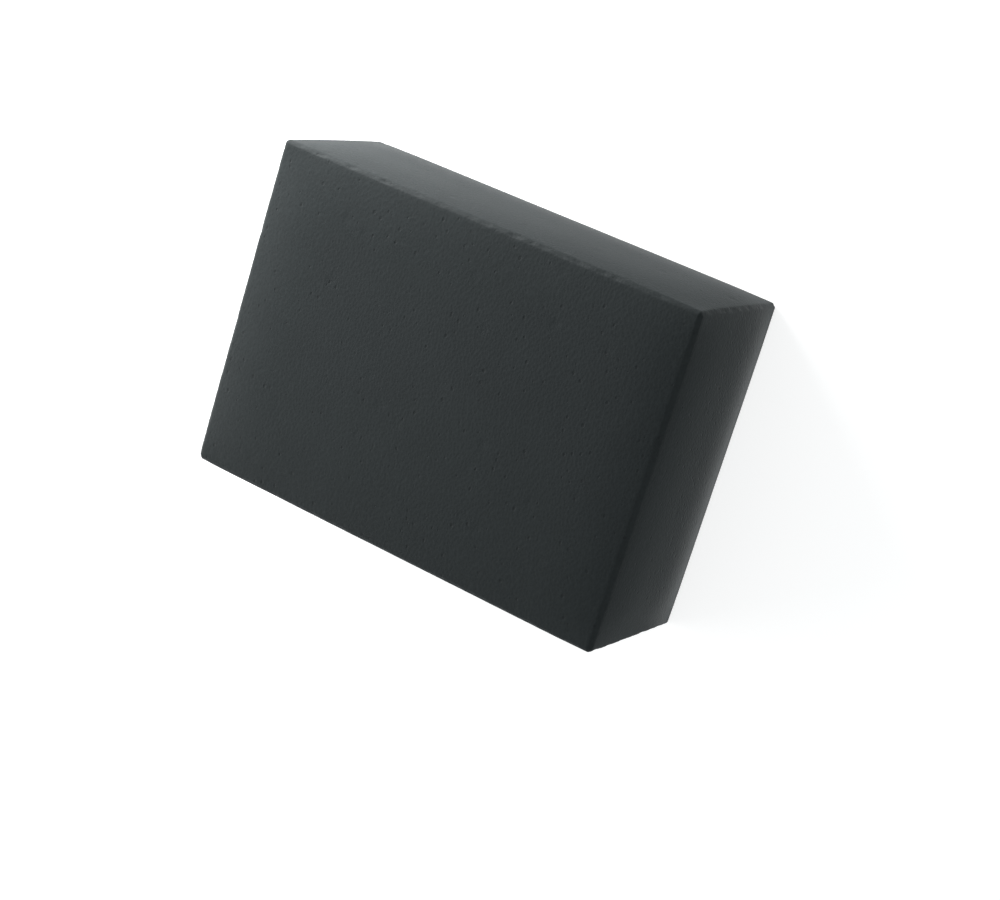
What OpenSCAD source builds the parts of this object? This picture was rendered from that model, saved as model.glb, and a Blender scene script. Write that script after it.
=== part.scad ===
// Foam pad: one rectangular block of fine closed-cell foam, cut to size, with softened edges and corners.
// It lies on one of its two large faces. The origin is the middle of that face, +X runs along
// the length and +Z is up through the thickness. Sizes are in millimetres.

/* [Pad] */
// Length of the pad, along X
pad_l = 70; // [30:1:150]
// Width of the pad, along Y
pad_w = 50; // [20:1:120]
// Thickness of the pad, along Z
pad_t = 25; // [8:0.5:60]

/* [Edges] */
// Radius of the softened edges and corners
edge_r = 1; // [0.3:0.1:3]

/* [Colour] */
// Colour of the foam
foam_colour = "#313636"; // ["#313636":charcoal, "#5a5f60":grey, "#e6e4dc":white]

/* [Hidden] */
// Facets of a full circle in the preview
$fn = 64;
// Both sides of a middle plane
SIDES = [-1, 1];

// Three slabs that cross at the middle. Each one reaches two opposite faces,
// and stops short of the other four by the edge radius.
module crossed_slabs(size, r) {
    for (axis = [0 : 2])
        cube([for (i = [0 : 2]) i == axis ? size[i] : size[i] - 2 * r], center = true);
}

// Quarter-round edges: four rods beside each axis, as long as the flat between the corners
module edge_rods(size, r) {
    // Turns the Z axis onto X, Y and Z, and the sizes across each rod that go with it
    turns = [[0, 90, 0], [-90, 0, 0], [0, 0, 0]];
    across = [[size.z, size.y], [size.x, size.z], [size.x, size.y]];
    for (axis = [0 : 2])
        rotate(turns[axis])
            for (a = SIDES, b = SIDES)
                translate([a * (across[axis][0] / 2 - r), b * (across[axis][1] / 2 - r), 0])
                    cylinder(h = size[axis] - 2 * r, r = r, center = true);
}

// Ball-round corners, where three edges meet
module corner_balls(size, r) {
    for (a = SIDES, b = SIDES, c = SIDES)
        translate([a * (size.x / 2 - r), b * (size.y / 2 - r), c * (size.z / 2 - r)])
            sphere(r = r);
}

// A block with every edge and corner rounded by one radius, centred on the origin
module rounded_block(size, r) {
    crossed_slabs(size, r);
    edge_rods(size, r);
    corner_balls(size, r);
}

module foam_pad() {
    color(foam_colour)
        translate([0, 0, pad_t / 2])
            rounded_block([pad_l, pad_w, pad_t], edge_r);
}

foam_pad();
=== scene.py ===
"""Foam pad: one block of fine closed-cell foam, dressed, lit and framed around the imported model."""

import logging
import math
from dataclasses import dataclass
from enum import Enum
from typing import Any

import bpy
from mathutils import Matrix, Vector

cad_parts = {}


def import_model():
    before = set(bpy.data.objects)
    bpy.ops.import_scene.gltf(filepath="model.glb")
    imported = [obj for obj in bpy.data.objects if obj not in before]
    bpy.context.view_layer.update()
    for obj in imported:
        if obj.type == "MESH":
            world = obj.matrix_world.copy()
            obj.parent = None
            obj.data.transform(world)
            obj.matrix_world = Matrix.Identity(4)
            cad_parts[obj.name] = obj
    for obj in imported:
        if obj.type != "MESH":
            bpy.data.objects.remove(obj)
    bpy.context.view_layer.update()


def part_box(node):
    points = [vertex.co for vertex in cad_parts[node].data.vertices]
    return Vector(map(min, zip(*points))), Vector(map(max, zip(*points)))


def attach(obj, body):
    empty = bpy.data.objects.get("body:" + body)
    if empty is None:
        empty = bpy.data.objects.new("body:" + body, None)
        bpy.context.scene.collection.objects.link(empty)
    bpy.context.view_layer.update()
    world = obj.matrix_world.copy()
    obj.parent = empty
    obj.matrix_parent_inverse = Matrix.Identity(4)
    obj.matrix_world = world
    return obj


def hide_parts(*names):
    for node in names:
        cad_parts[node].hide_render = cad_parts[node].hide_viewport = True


LOG = logging.getLogger("foam_pad")

MM = 0.001
PAD_NODE = "foam_pad"
PAD_BODY = "root"
EDGE_SHARE = "edge_share"
# Lower limit that keeps a vector from pointing below the floor and leaves X and Y free
NOT_DOWN = (-1.0, -1.0, 0.0)
NONE = (0.0, 0.0, 0.0)
ALL = (1.0, 1.0, 1.0)
WHITE = (1.0, 1.0, 1.0, 1.0)

Triple = tuple[float, float, float]
Pair = tuple[float, float]
Socket = bpy.types.NodeSocket


class InputKind(Enum):
    """Kinds of named input that a node tree takes."""

    NUMBER = "NodeSocketFloat"
    COUNT = "NodeSocketInt"
    SIZES = "NodeSocketVector"
    FINISH = "NodeSocketMaterial"


@dataclass(frozen=True)
class TreeInput:
    """One named input of a node tree, with what it is set to."""

    name: str
    kind: InputKind
    value: Any


class NodeSketch:
    """Adds nodes to a tree, so that a formula can be written as nested calls."""

    def __init__(self, tree: bpy.types.NodeTree) -> None:
        """Keeps the tree that the nodes go into."""
        self.tree = tree

    def feed(self, socket: Socket, value: Any) -> None:
        """Links a socket to another, or sets it to a plain value.

        Args:
            socket: The input socket to feed.
            value: Another node's output socket, or a number, vector or colour.
        """
        if isinstance(value, Socket):
            self.tree.links.new(value, socket)
        else:
            socket.default_value = value

    def add(self, kind: str, inputs: dict[str, Any] | None = None, **settings: Any) -> bpy.types.Node:
        """Adds one node.

        Args:
            kind: Blender's name for the type of node.
            inputs: What each named input socket is fed with.
            **settings: Properties of the node itself.

        Returns:
            The new node.
        """
        node = self.tree.nodes.new(kind)
        for name, value in settings.items():
            setattr(node, name, value)
        for name, value in (inputs or {}).items():
            self.feed(node.inputs[name], value)
        return node

    def maths(self, operation: str, *values: Any) -> Socket:
        """Adds a Math node.

        Args:
            operation: The node's operation, such as MULTIPLY.
            *values: Its operands, in order.

        Returns:
            The result.
        """
        node = self.add("ShaderNodeMath", operation=operation)
        for socket, value in zip(node.inputs, values):
            self.feed(socket, value)
        return node.outputs[0]

    def vectors(self, operation: str, *values: Any) -> Socket:
        """Adds a Vector Math node that works on each axis by itself.

        Args:
            operation: The node's operation, such as MULTIPLY.
            *values: Its operands, in order.

        Returns:
            The resulting vector.
        """
        node = self.add("ShaderNodeVectorMath", operation=operation)
        for socket, value in zip(node.inputs, values):
            self.feed(socket, value)
        return node.outputs["Vector"]

    def scaled(self, vector: Any, factor: Any) -> Socket:
        """Returns a vector times one number."""
        inputs = {"Vector": vector, "Scale": factor}
        return self.add("ShaderNodeVectorMath", inputs, operation="SCALE").outputs["Vector"]

    def parts(self, vector: Socket) -> list[Socket]:
        """Returns the X, Y and Z of a vector."""
        return list(self.add("ShaderNodeSeparateXYZ", {"Vector": vector}).outputs)

    def joined(self, x: Any, y: Any, z: Any) -> Socket:
        """Returns a vector made of three numbers."""
        return self.add("ShaderNodeCombineXYZ", {"X": x, "Y": y, "Z": z}).outputs[0]

    def noise(self, place: Socket, size: Any, seed: Any, detail: float = 0.0) -> Socket:
        """Adds a noise that runs from about 0 to 1.

        Args:
            place: The position that the noise is read at.
            size: The size of its largest features, in metres.
            seed: Picks one noise of that kind.
            detail: How many finer layers lie on them.

        Returns:
            The noise.
        """
        inputs = {"Vector": self.shifted(place, seed), "Scale": self.per(size), "Detail": detail}
        return self.add("ShaderNodeTexNoise", inputs).outputs[0]

    def bubbles(self, place: Socket, spacing: Any, seed: Any) -> tuple[Socket, list[Socket]]:
        """Adds a field of bubbles that are scattered through the foam.

        Args:
            place: The position that the field is read at.
            spacing: The mean distance between bubbles, in metres.
            seed: Picks one field of that kind.

        Returns:
            The distance from the nearest bubble's middle, counted in spacings, and three random
            numbers from 0 to 1 that belong to that bubble.
        """
        inputs = {"Vector": self.shifted(place, seed), "Scale": self.per(spacing)}
        field = self.add("ShaderNodeTexVoronoi", inputs).outputs
        return field["Distance"], self.parts(field["Color"])

    def shifted(self, place: Socket, seed: Any) -> Socket:
        """Returns a position that is moved by the seed, so that a texture starts elsewhere."""
        step = self.joined(seed, seed, seed) if isinstance(seed, Socket) else (seed, seed, seed)
        return self.vectors("ADD", place, step)

    def per(self, size: Any) -> Any:
        """Returns one over a size, which is a texture's scale."""
        return self.maths("DIVIDE", 1.0, size) if isinstance(size, Socket) else 1.0 / size

    def ramp(self, value: Any, start: Any, end: Any) -> Socket:
        """Returns a smooth step from 0 where value is start to 1 where it is end."""
        inputs = {"Value": value, "From Min": start, "From Max": end}
        return self.add("ShaderNodeMapRange", inputs, interpolation_type="SMOOTHSTEP").outputs[0]


@dataclass(frozen=True)
class FoamFinish:
    """Fine closed-cell foam: dark and dry, faintly mottled, with small pores drawn out one way."""

    tone: Triple = (0.0180, 0.0217, 0.0225)
    roughness: float = 0.66
    roughness_spread: float = 0.10
    specular: float = 0.12
    mottle_size: float = 6.0 * MM
    mottle_detail: float = 4.0
    mottle_spread: float = 0.20
    # How much paler the base colour grows towards the rounded edges
    edge_pale_gain: float = 0.15
    grain_size: float = 0.20 * MM
    grain_detail: float = 2.0
    grain_depth: float = 0.012 * MM
    cell_size: float = 0.40 * MM
    cell_depth: float = 0.025 * MM
    # Painted shade: how much darker the middle of each cell is than its walls
    painted_cell_shade: float = 0.25
    pore_spacing: float = 1.2 * MM
    pore_reach: Pair = (0.05, 0.26)
    pore_floor: float = 0.4
    pore_depth: float = 0.032 * MM
    # Painted shade: how much darker the base colour is inside a pore
    painted_pore_shade: float = 0.28
    draw: Triple = (1.0, 0.75, 1.0)
    seed: float = 0.3

    def material(self) -> bpy.types.Material:
        """Builds the foam's material.

        Returns:
            A procedural material that reads Object coordinates and the mesh's edge share.
        """
        made = bpy.data.materials.new("charcoal_foam")
        made.use_nodes = True
        made.node_tree.nodes.clear()
        sketch = NodeSketch(made.node_tree)
        place = sketch.add("ShaderNodeTexCoord").outputs["Object"]
        drawn = sketch.vectors("MULTIPLY", place, self.draw)
        grain = sketch.noise(place, self.grain_size, self.seed, self.grain_detail)
        cells, _ = sketch.bubbles(drawn, self.cell_size, self.seed)
        pores = self._pores(sketch, drawn)
        shader = sketch.add("ShaderNodeBsdfPrincipled", {
            "Base Color": self._colour(sketch, place, cells, pores),
            "Roughness": self._roughness(sketch, grain),
            "Specular IOR Level": self.specular,
            "Normal": self._relief(sketch, grain, cells, pores),
        })
        sketch.add("ShaderNodeOutputMaterial", {"Surface": shader.outputs[0]})
        return made

    def _pores(self, sketch: NodeSketch, drawn: Socket) -> Socket:
        """Scatters open pores of many sizes over the foam.

        Args:
            sketch: The material's tree.
            drawn: Object coordinates, drawn out along the foam's rise.

        Returns:
            1 inside a pore, 0 on the skin.
        """
        distance, (chance, _, _) = sketch.bubbles(drawn, self.pore_spacing, self.seed)
        least, most = self.pore_reach
        reach = sketch.maths("MULTIPLY_ADD", chance, most - least, least)
        return sketch.ramp(distance, reach, sketch.maths("MULTIPLY", reach, self.pore_floor))

    def _colour(self, sketch: NodeSketch, place: Socket, cells: Socket, pores: Socket) -> Socket:
        """Mottles the foam's tone, paints shade into its cells' hollows and its pores, and pales it
        towards the rounded edges.

        Args:
            sketch: The material's tree.
            place: Object coordinates.
            cells: Distance from the nearest cell's middle.
            pores: 1 inside a pore, 0 on the skin.

        Returns:
            The base colour.
        """
        mottle = sketch.noise(place, self.mottle_size, self.seed, self.mottle_detail)
        shade = sketch.maths("MULTIPLY_ADD", mottle, self.mottle_spread, 1.0 - self.mottle_spread / 2)
        # Paler towards the rounded edges, in patches that follow the mottle
        edge = sketch.add("ShaderNodeAttribute", attribute_name=EDGE_SHARE).outputs["Fac"]
        edge_pale = sketch.maths("MULTIPLY", edge, mottle)
        shade = sketch.maths("MULTIPLY_ADD", edge_pale, self.edge_pale_gain, shade)
        # Painted shade: the pores' base colour is darkened, standing in for the shade inside them
        shade = sketch.maths("MULTIPLY_ADD", pores, -self.painted_pore_shade, shade)
        # Painted shade: each cell is darkened towards its hollow middle
        shade = sketch.maths("MULTIPLY", shade, self._painted_cell_factor(sketch, cells))
        return sketch.scaled(self.tone, shade)

    def _painted_cell_factor(self, sketch: NodeSketch, cells: Socket) -> Socket:
        """Returns the painted shade of a cell, as a factor of about 1: darker in its hollow middle, paler
        on its walls.
        """
        return sketch.maths("MULTIPLY_ADD", cells, self.painted_cell_shade, 1.0 - self.painted_cell_shade / 2)

    def _roughness(self, sketch: NodeSketch, grain: Socket) -> Socket:
        """Returns a roughness that varies with the grain."""
        least = self.roughness - self.roughness_spread / 2
        return sketch.maths("MULTIPLY_ADD", grain, self.roughness_spread, least)

    def _relief(self, sketch: NodeSketch, grain: Socket, cells: Socket, pores: Socket) -> Socket:
        """Raises the grain and the cells' walls, and sinks the pores.

        Args:
            sketch: The material's tree.
            grain: The finest unevenness.
            cells: Distance from the nearest cell's middle.
            pores: 1 inside a pore, 0 on the skin.

        Returns:
            The shading normal.
        """
        height = sketch.maths("MULTIPLY", grain, self.grain_depth)
        height = sketch.maths("MULTIPLY_ADD", cells, self.cell_depth, height)
        height = sketch.maths("MULTIPLY_ADD", pores, -self.pore_depth, height)
        return sketch.add("ShaderNodeBump", {"Height": height, "Distance": 1.0}).outputs[0]


@dataclass
class FoamPad:
    """The pad: a block with softened edges, slightly crowned faces and a foam's unevenness."""

    low: Vector
    high: Vector
    finish: FoamFinish
    edge_radius: float = 0.65 * MM
    mesh_step: float = 0.372 * MM
    round_rows: int = 4
    crown: float = 0.85 * MM
    crown_reach: float = 12.5 * MM
    wave_depth: float = 0.06 * MM
    wave_size: float = 14.0 * MM
    wave_detail: float = 2.0
    nibble_depth: float = 0.36 * MM
    nibble_size: float = 1.8 * MM
    nibble_detail: float = 2.0
    nibble_range: Pair = (0.42, 0.75)
    dent_depth: float = 0.05 * MM
    dent_spacing: float = 4.5 * MM
    dent_reach: Pair = (0.10, 0.26)
    seed: float = 0.7

    def build(self) -> bpy.types.Object:
        """Makes the pad's mesh from its node tree.

        Returns:
            The finished piece, at the origin, with its place in its mesh.
        """
        inputs = self._inputs()
        tree = self._tree(inputs)
        seat = bpy.data.objects.new("foam_seat", bpy.data.meshes.new("foam_seat"))
        bpy.context.scene.collection.objects.link(seat)
        modifier = seat.modifiers.new("foam_block", "NODES")
        modifier.node_group = tree
        sockets = [item for item in tree.interface.items_tree if item.in_out == "INPUT"]
        for socket, given in zip(sockets, inputs):
            modifier[socket.identifier] = given.value
        evaluated = seat.evaluated_get(bpy.context.evaluated_depsgraph_get())
        mesh = bpy.data.meshes.new_from_object(evaluated)
        mesh.name = "foam_block"
        mesh.materials.pop(index=0)
        seat.modifiers.remove(modifier)
        bpy.data.objects.remove(seat)
        piece = bpy.data.objects.new("foam_block", mesh)
        bpy.context.scene.collection.objects.link(piece)
        return piece

    def dress(self, piece: bpy.types.Object) -> None:
        """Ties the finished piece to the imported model.

        Args:
            piece: The pad's object.
        """
        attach(piece, PAD_BODY)
        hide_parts(PAD_NODE)

    def _inputs(self) -> list[TreeInput]:
        """Returns the tree's named inputs, each with its value."""
        size = self.high - self.low
        rows = Vector(round(side / self.mesh_step) for side in size)
        return [
            TreeInput("Half Size", InputKind.SIZES, size / 2),
            TreeInput("Middle", InputKind.SIZES, (self.low + self.high) / 2),
            TreeInput("Rows", InputKind.SIZES, rows),
            TreeInput("Round Rows", InputKind.COUNT, self.round_rows),
            TreeInput("Edge Radius", InputKind.NUMBER, self.edge_radius),
            TreeInput("Crown", InputKind.NUMBER, self.crown),
            TreeInput("Crown Reach", InputKind.NUMBER, self.crown_reach),
            TreeInput("Wave Depth", InputKind.NUMBER, self.wave_depth),
            TreeInput("Wave Size", InputKind.NUMBER, self.wave_size),
            TreeInput("Nibble Depth", InputKind.NUMBER, self.nibble_depth),
            TreeInput("Nibble Size", InputKind.NUMBER, self.nibble_size),
            TreeInput("Dent Depth", InputKind.NUMBER, self.dent_depth),
            TreeInput("Dent Spacing", InputKind.NUMBER, self.dent_spacing),
            TreeInput("Seed", InputKind.NUMBER, self.seed),
            TreeInput("Finish", InputKind.FINISH, self.finish.material()),
        ]

    def _tree(self, inputs: list[TreeInput]) -> bpy.types.NodeTree:
        """Builds the node tree that makes the block.

        Args:
            inputs: The tree's named inputs.

        Returns:
            The tree.
        """
        tree = bpy.data.node_groups.new("foam_block", "GeometryNodeTree")
        for given in inputs:
            tree.interface.new_socket(given.name, in_out="INPUT", socket_type=given.kind.value)
        tree.interface.new_socket("Geometry", in_out="OUTPUT", socket_type="NodeSocketGeometry")
        sketch = NodeSketch(tree)
        given = sketch.add("NodeGroupInput").outputs
        place, normal = self._rounded(sketch, given)
        edge = self._edge_share(sketch, normal)
        relief = sketch.scaled(normal, self._relief(sketch, given, place, edge))
        moved = sketch.vectors("ADD", place, self._crown(sketch, given, place, normal))
        moved = sketch.vectors("ADD", moved, relief)
        moved = sketch.vectors("ADD", moved, given["Middle"])
        moved = sketch.vectors("MAXIMUM", moved, NOT_DOWN)
        marked = sketch.add("GeometryNodeStoreNamedAttribute", {
            "Geometry": self._grid(sketch, given), "Name": EDGE_SHARE, "Value": edge,
        })
        shaped = sketch.add("GeometryNodeSetPosition", {
            "Geometry": marked.outputs[0], "Position": moved,
        })
        smooth = sketch.add("GeometryNodeSetShadeSmooth", {"Geometry": shaped.outputs[0]})
        real = sketch.add("GeometryNodeRealizeInstances", {"Geometry": smooth.outputs[0]})
        dressed = sketch.add("GeometryNodeSetMaterial", {
            "Geometry": real.outputs[0], "Material": given["Finish"],
        })
        sketch.add("NodeGroupOutput", {"Geometry": dressed.outputs[0]})
        return tree

    def _grid(self, sketch: NodeSketch, given: Any) -> Socket:
        """Adds a closed box of square cells that runs from -1 to 1 on each axis.

        Args:
            sketch: The block's tree.
            given: The tree's inputs.

        Returns:
            The box's geometry.
        """
        counts = sketch.parts(sketch.vectors("ADD", given["Rows"], ALL))
        inputs = {"Size": (2.0, 2.0, 2.0)}
        inputs.update(zip(("Vertices X", "Vertices Y", "Vertices Z"), counts))
        return sketch.add("GeometryNodeMeshCube", inputs).outputs["Mesh"]

    def _rounded(self, sketch: NodeSketch, given: Any) -> tuple[Socket, Socket]:
        """Spreads the box to its size and rounds its edges and corners.

        Each axis gives its last rows to the round, at equal angles, and spreads the others evenly
        over the flat. A point is then pushed out from the core of the block by the edge radius.

        Args:
            sketch: The block's tree.
            given: The tree's inputs.

        Returns:
            The place of each point about the block's middle, and the outward direction there.
        """
        along = sketch.add("GeometryNodeInputPosition").outputs[0]
        radius = given["Edge Radius"]
        core = sketch.vectors("SUBTRACT", given["Half Size"], sketch.joined(radius, radius, radius))
        share = sketch.vectors("ABSOLUTE", along)
        rounds = sketch.maths("MULTIPLY", given["Round Rows"], 2.0)
        round_share = sketch.vectors("DIVIDE", sketch.joined(rounds, rounds, rounds), given["Rows"])
        flat_share = sketch.vectors("SUBTRACT", ALL, round_share)
        on_flat = sketch.vectors("MINIMUM", sketch.vectors("DIVIDE", share, flat_share), ALL)
        past_flat = sketch.vectors("SUBTRACT", share, flat_share)
        past_flat = sketch.vectors("MAXIMUM", past_flat, NONE)
        turn = sketch.scaled(sketch.vectors("DIVIDE", past_flat, round_share), math.pi / 4)
        reach = sketch.scaled(sketch.vectors("TANGENT", turn), radius)
        spread = sketch.vectors("ADD", sketch.vectors("MULTIPLY", on_flat, core), reach)
        spread = sketch.vectors("MULTIPLY", spread, sketch.vectors("SIGN", along))
        nearest = sketch.vectors("MINIMUM", spread, core)
        nearest = sketch.vectors("MAXIMUM", nearest, sketch.scaled(core, -1.0))
        normal = sketch.vectors("NORMALIZE", sketch.vectors("SUBTRACT", spread, nearest))
        return sketch.vectors("ADD", nearest, sketch.scaled(normal, radius)), normal

    def _edge_share(self, sketch: NodeSketch, normal: Socket) -> Socket:
        """Tells how far a point is round an edge or corner.

        Args:
            sketch: The block's tree.
            normal: The outward direction at each point.

        Returns:
            0 on a flat face, a half in the middle of an edge and two thirds on a corner.
        """
        squares = sketch.vectors("MULTIPLY", normal, normal)
        flat = sketch.add("ShaderNodeVectorMath", operation="DOT_PRODUCT")
        sketch.feed(flat.inputs[0], squares)
        sketch.feed(flat.inputs[1], squares)
        return sketch.maths("SUBTRACT", 1.0, flat.outputs["Value"])

    def _crown(self, sketch: NodeSketch, given: Any, place: Socket, normal: Socket) -> Socket:
        """Swells each face towards its middle, apart from the one that the pad lies on.

        Args:
            sketch: The block's tree.
            given: The tree's inputs.
            place: Each point's place about the block's middle.
            normal: The outward direction there.

        Returns:
            How far each point moves.
        """
        reach = given["Crown Reach"]
        inset = sketch.vectors("SUBTRACT", given["Half Size"], sketch.vectors("ABSOLUTE", place))
        share = sketch.vectors("DIVIDE", inset, sketch.joined(reach, reach, reach))
        left = sketch.vectors("MAXIMUM", sketch.vectors("SUBTRACT", ALL, share), NONE)
        cube = sketch.vectors("MULTIPLY", left, sketch.vectors("MULTIPLY", left, left))
        x, y, z = sketch.parts(sketch.vectors("SUBTRACT", ALL, cube))
        pairs = ((y, z), (z, x), (x, y))
        swell = sketch.joined(*[sketch.maths("MULTIPLY", one, other) for one, other in pairs])
        free = sketch.vectors("MAXIMUM", normal, NOT_DOWN)
        return sketch.vectors("MULTIPLY", free, sketch.scaled(swell, given["Crown"]))

    def _relief(self, sketch: NodeSketch, given: Any, place: Socket, edge: Socket) -> Socket:
        """Adds the foam's slow waves, its nibbled edges and its shallow dents.

        Args:
            sketch: The block's tree.
            given: The tree's inputs.
            place: Each point's place about the block's middle.
            edge: How far each point is round an edge.

        Returns:
            How far each point moves along its outward direction, never outwards.
        """
        seed = given["Seed"]
        wave = sketch.noise(place, given["Wave Size"], seed, self.wave_detail)
        wave = sketch.maths("MULTIPLY", wave, given["Wave Depth"])
        nibble = sketch.noise(place, given["Nibble Size"], seed, self.nibble_detail)
        nibble = sketch.ramp(nibble, *self.nibble_range)
        nibble = sketch.maths("MULTIPLY", nibble, sketch.maths("MULTIPLY", edge, given["Nibble Depth"]))
        distance, (chance, _, _) = sketch.bubbles(place, given["Dent Spacing"], seed)
        least, most = self.dent_reach
        reach = sketch.maths("MULTIPLY_ADD", chance, most - least, least)
        dent = sketch.ramp(distance, reach, 0.0)
        dent = sketch.maths("MULTIPLY", dent, given["Dent Depth"])
        total = sketch.maths("ADD", sketch.maths("ADD", wave, nibble), dent)
        return sketch.maths("MULTIPLY", total, -1.0)


@dataclass(frozen=True)
class SoftBox:
    """One soft lamp: a flat panel that faces a point."""

    name: str
    place: Triple
    aim: Triple
    width: float
    height: float
    watts: float

    def hang(self) -> bpy.types.Object:
        """Adds the lamp.

        Returns:
            The lamp's object.
        """
        lamp = bpy.data.lights.new(self.name, "AREA")
        lamp.shape = "RECTANGLE"
        lamp.size = self.width
        lamp.size_y = self.height
        lamp.energy = self.watts
        hung = bpy.data.objects.new(self.name, lamp)
        hung.location = self.place
        hung.rotation_mode = "QUATERNION"
        hung.rotation_quaternion = (Vector(self.aim) - Vector(self.place)).to_track_quat("-Z", "Y")
        hung.visible_camera = False
        bpy.context.scene.collection.objects.link(hung)
        return hung


@dataclass(frozen=True)
class Studio:
    """A white floor under white surroundings, soft lamps low on one side, and two panels on the floor."""

    pad_low: Vector
    pad_high: Vector
    floor_size: float = 4.0
    floor_gap: float = 0.01 * MM
    floor_tone: float = 0.50
    floor_lift: float = 0.765
    sky_level: float = 0.50
    sky_tone: Triple = (0.94, 0.99, 1.0)
    lamps: tuple[SoftBox, ...] = (
        SoftBox(
            "left_lamp", place=(-0.17, 0.01, 0.13), aim=(0.0, 0.0, 0.012),
            width=0.14, height=0.14, watts=0.09,
        ),
        SoftBox(
            "front_lamp", place=(-0.17, -0.09, 0.06), aim=(0.0, 0.0, 0.012),
            width=0.14, height=0.12, watts=0.26,
        ),
        SoftBox(
            "corner_lamp", place=(-0.085, 0.075, 0.04), aim=(-0.03, 0.02, 0.0),
            width=0.09, height=0.08, watts=0.33,
        ),
    )
    panel_rise: float = 0.05 * MM
    long_panel_gap: float = 0.5 * MM
    long_panel_breadth: float = 3.0 * MM
    long_panel_overhang: float = 3.0 * MM
    long_panel_watts: float = 0.0007
    short_panel_gap: float = 0.4 * MM
    short_panel_breadth: float = 2.0 * MM
    short_panel_overhang: float = 4.0 * MM
    short_panel_shift: float = 2.0 * MM
    short_panel_watts: float = 0.0008

    def build(self) -> None:
        """Adds the floor, the surroundings, the lamps and the panels."""
        self._floor()
        self._sky()
        for lamp in (*self.lamps, self._long_panel(), self._short_panel()):
            lamp.hang()

    def _long_panel(self) -> SoftBox:
        """Lays a panel along the foot of the long side, for the light that the white floor throws back.

        Returns:
            The panel, which faces up.
        """
        x = (self.pad_low.x + self.pad_high.x) / 2
        y = self.pad_high.y + self.long_panel_gap + self.long_panel_breadth / 2
        length = self.pad_high.x - self.pad_low.x + 2 * self.long_panel_overhang
        return SoftBox(
            "long_side_panel", place=(x, y, self.panel_rise), aim=(x, y, self.pad_high.z),
            width=length, height=self.long_panel_breadth, watts=self.long_panel_watts,
        )

    def _short_panel(self) -> SoftBox:
        """Lays a panel along the foot of the short side, for the light that the white floor throws back.

        Returns:
            The panel, which faces up.
        """
        x = self.pad_high.x + self.short_panel_gap + self.short_panel_breadth / 2
        y = (self.pad_low.y + self.pad_high.y) / 2 + self.short_panel_shift
        length = self.pad_high.y - self.pad_low.y + 2 * self.short_panel_overhang
        return SoftBox(
            "short_side_panel", place=(x, y, self.panel_rise), aim=(x, y, self.pad_high.z),
            width=self.short_panel_breadth, height=length, watts=self.short_panel_watts,
        )

    def _seen(self, sketch: NodeSketch, lift: float) -> Socket:
        """Adds to what lights the pad where the background is seen.

        Args:
            sketch: The background's tree.
            lift: What is added for the camera's own rays, in a reflection and through glass.

        Returns:
            The addition for each ray.
        """
        path = sketch.add("ShaderNodeLightPath").outputs
        seen = sketch.maths("MAXIMUM", path["Is Camera Ray"], path["Is Transmission Ray"])
        seen = sketch.maths("MAXIMUM", seen, path["Is Glossy Ray"])
        return sketch.maths("MULTIPLY", seen, lift)

    def _tint(self, sketch: NodeSketch) -> Socket:
        """Colours the light of the surroundings, apart from where the camera sees them.

        Args:
            sketch: The background's tree.

        Returns:
            White for the camera's own rays, and the sky's tone for the others.
        """
        seen = sketch.add("ShaderNodeLightPath").outputs["Is Camera Ray"]
        colours = {"Factor": seen, "A": (*self.sky_tone, 1.0), "B": WHITE}
        return sketch.add("ShaderNodeMix", colours, data_type="RGBA").outputs["Result"]

    def _floor(self) -> None:
        """Lays a matt white floor that is lifted to paper white where it is seen."""
        half = self.floor_size / 2
        corners = [(-half, -half), (half, -half), (half, half), (-half, half)]
        mesh = bpy.data.meshes.new("floor")
        mesh.from_pydata([(x, y, -self.floor_gap) for x, y in corners], [], [(0, 1, 2, 3)])
        floor = bpy.data.objects.new("floor", mesh)
        bpy.context.scene.collection.objects.link(floor)
        paper = bpy.data.materials.new("floor_paper")
        paper.use_nodes = True
        paper.node_tree.nodes.clear()
        sketch = NodeSketch(paper.node_tree)
        grey = self.floor_tone
        matt = sketch.add("ShaderNodeBsdfDiffuse", {"Color": (grey, grey, grey, 1.0)})
        lift = self._seen(sketch, self.floor_lift)
        glow = sketch.add("ShaderNodeEmission", {"Color": self._tint(sketch), "Strength": lift})
        both = sketch.add("ShaderNodeAddShader")
        sketch.feed(both.inputs[0], matt.outputs[0])
        sketch.feed(both.inputs[1], glow.outputs[0])
        sketch.add("ShaderNodeOutputMaterial", {"Surface": both.outputs[0]})
        mesh.materials.append(paper)

    def _sky(self) -> None:
        """Surrounds the pad with even light, and with white where it is seen."""
        sky = bpy.data.worlds.new("white_surroundings")
        sky.use_nodes = True
        sky.node_tree.nodes.clear()
        sketch = NodeSketch(sky.node_tree)
        lift = self._seen(sketch, 1.0 - self.sky_level)
        level = sketch.maths("ADD", lift, self.sky_level)
        light = sketch.add("ShaderNodeBackground", {"Color": self._tint(sketch), "Strength": level})
        sketch.add("ShaderNodeOutputWorld", {"Surface": light.outputs[0]})
        bpy.context.scene.world = sky


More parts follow.
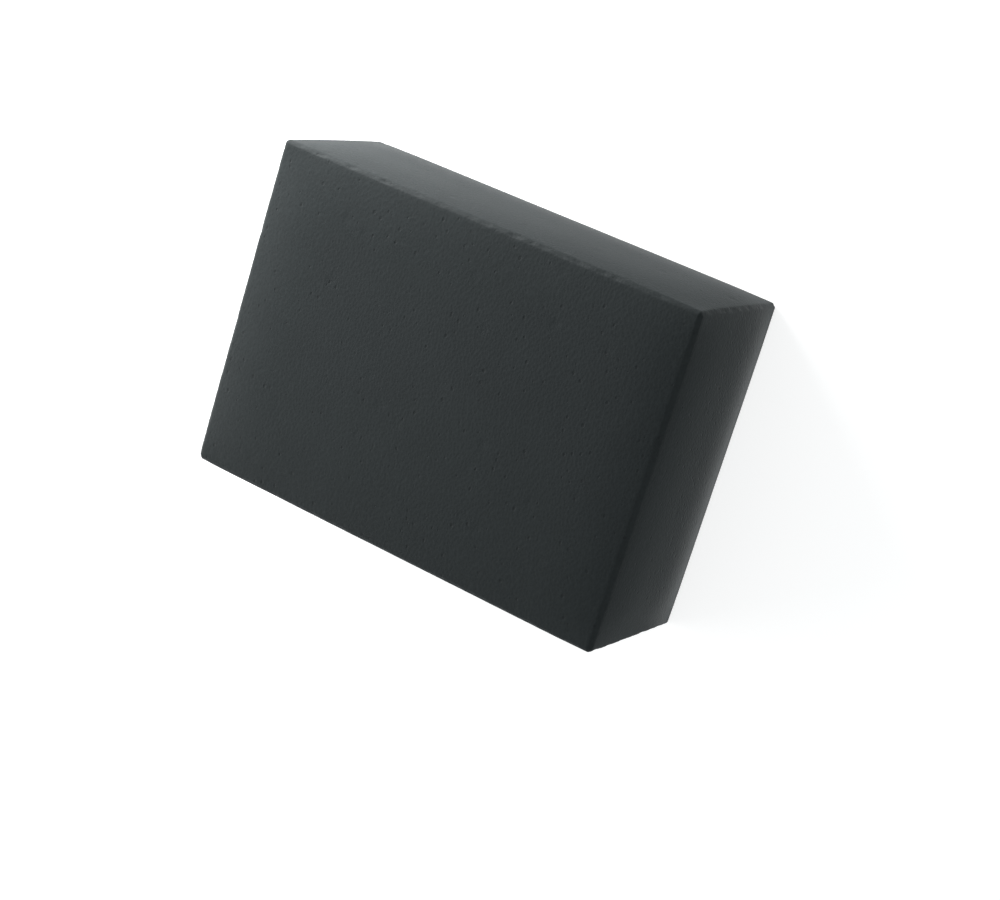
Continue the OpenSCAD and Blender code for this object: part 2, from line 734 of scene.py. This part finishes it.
@dataclass(frozen=True)
class PhotoCamera:
    """The photograph's camera: it looks down on the pad, turned about its own line of sight."""

    frame_px: Pair = (1000.0, 900.0)
    focal_px: float = 2341.3
    pad_middle_px: Pair = (478.2, 383.2)
    pad_distance: float = 338.7 * MM
    azimuth: float = 122.64
    elevation: float = 59.65
    roll: float = -101.53
    sensor: float = 36.0
    near_share: float = 0.01

    def place(self, middle: Vector) -> bpy.types.Object:
        """Adds the camera and makes it the scene's own.

        Args:
            middle: The middle of the pad.

        Returns:
            The camera's object.
        """
        turn = math.radians(self.azimuth)
        rise = math.radians(self.elevation)
        back = Vector((math.sin(turn) * math.cos(rise), -math.cos(turn) * math.cos(rise), math.sin(rise)))
        level = Vector((math.cos(turn), math.sin(turn), 0.0))
        right = Matrix.Rotation(math.radians(self.roll), 3, back) @ level
        up = back.cross(right)
        scale = self.pad_distance / self.focal_px
        across = (self.pad_middle_px[0] - self.frame_px[0] / 2) * scale
        above = (self.frame_px[1] / 2 - self.pad_middle_px[1]) * scale
        lens = bpy.data.cameras.new("photo_camera")
        lens.sensor_width = self.sensor
        lens.lens = self.focal_px / self.frame_px[0] * self.sensor
        lens.clip_start = self.pad_distance * self.near_share
        camera = bpy.data.objects.new("photo_camera", lens)
        axes = Matrix((right, up, back)).transposed().to_4x4()
        spot = middle - right * across - up * above + back * self.pad_distance
        camera.matrix_world = Matrix.Translation(spot) @ axes
        bpy.context.scene.collection.objects.link(camera)
        bpy.context.scene.camera = camera
        return camera


def main() -> None:
    """Builds the pad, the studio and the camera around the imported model."""
    logging.basicConfig(level=logging.INFO, format="%(name)s: %(message)s")
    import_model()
    low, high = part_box(PAD_NODE)
    pad = FoamPad(low, high, FoamFinish())
    piece = pad.build()
    pad.dress(piece)
    LOG.info("%s: %d faces", piece.name, len(piece.data.polygons))
    Studio(low, high).build()
    camera = PhotoCamera().place((low + high) / 2)
    LOG.info("%s: lens %.1f mm", camera.name, camera.data.lens)
    bpy.context.scene.view_settings.view_transform = "Standard"


if __name__ == "__main__":
    main()
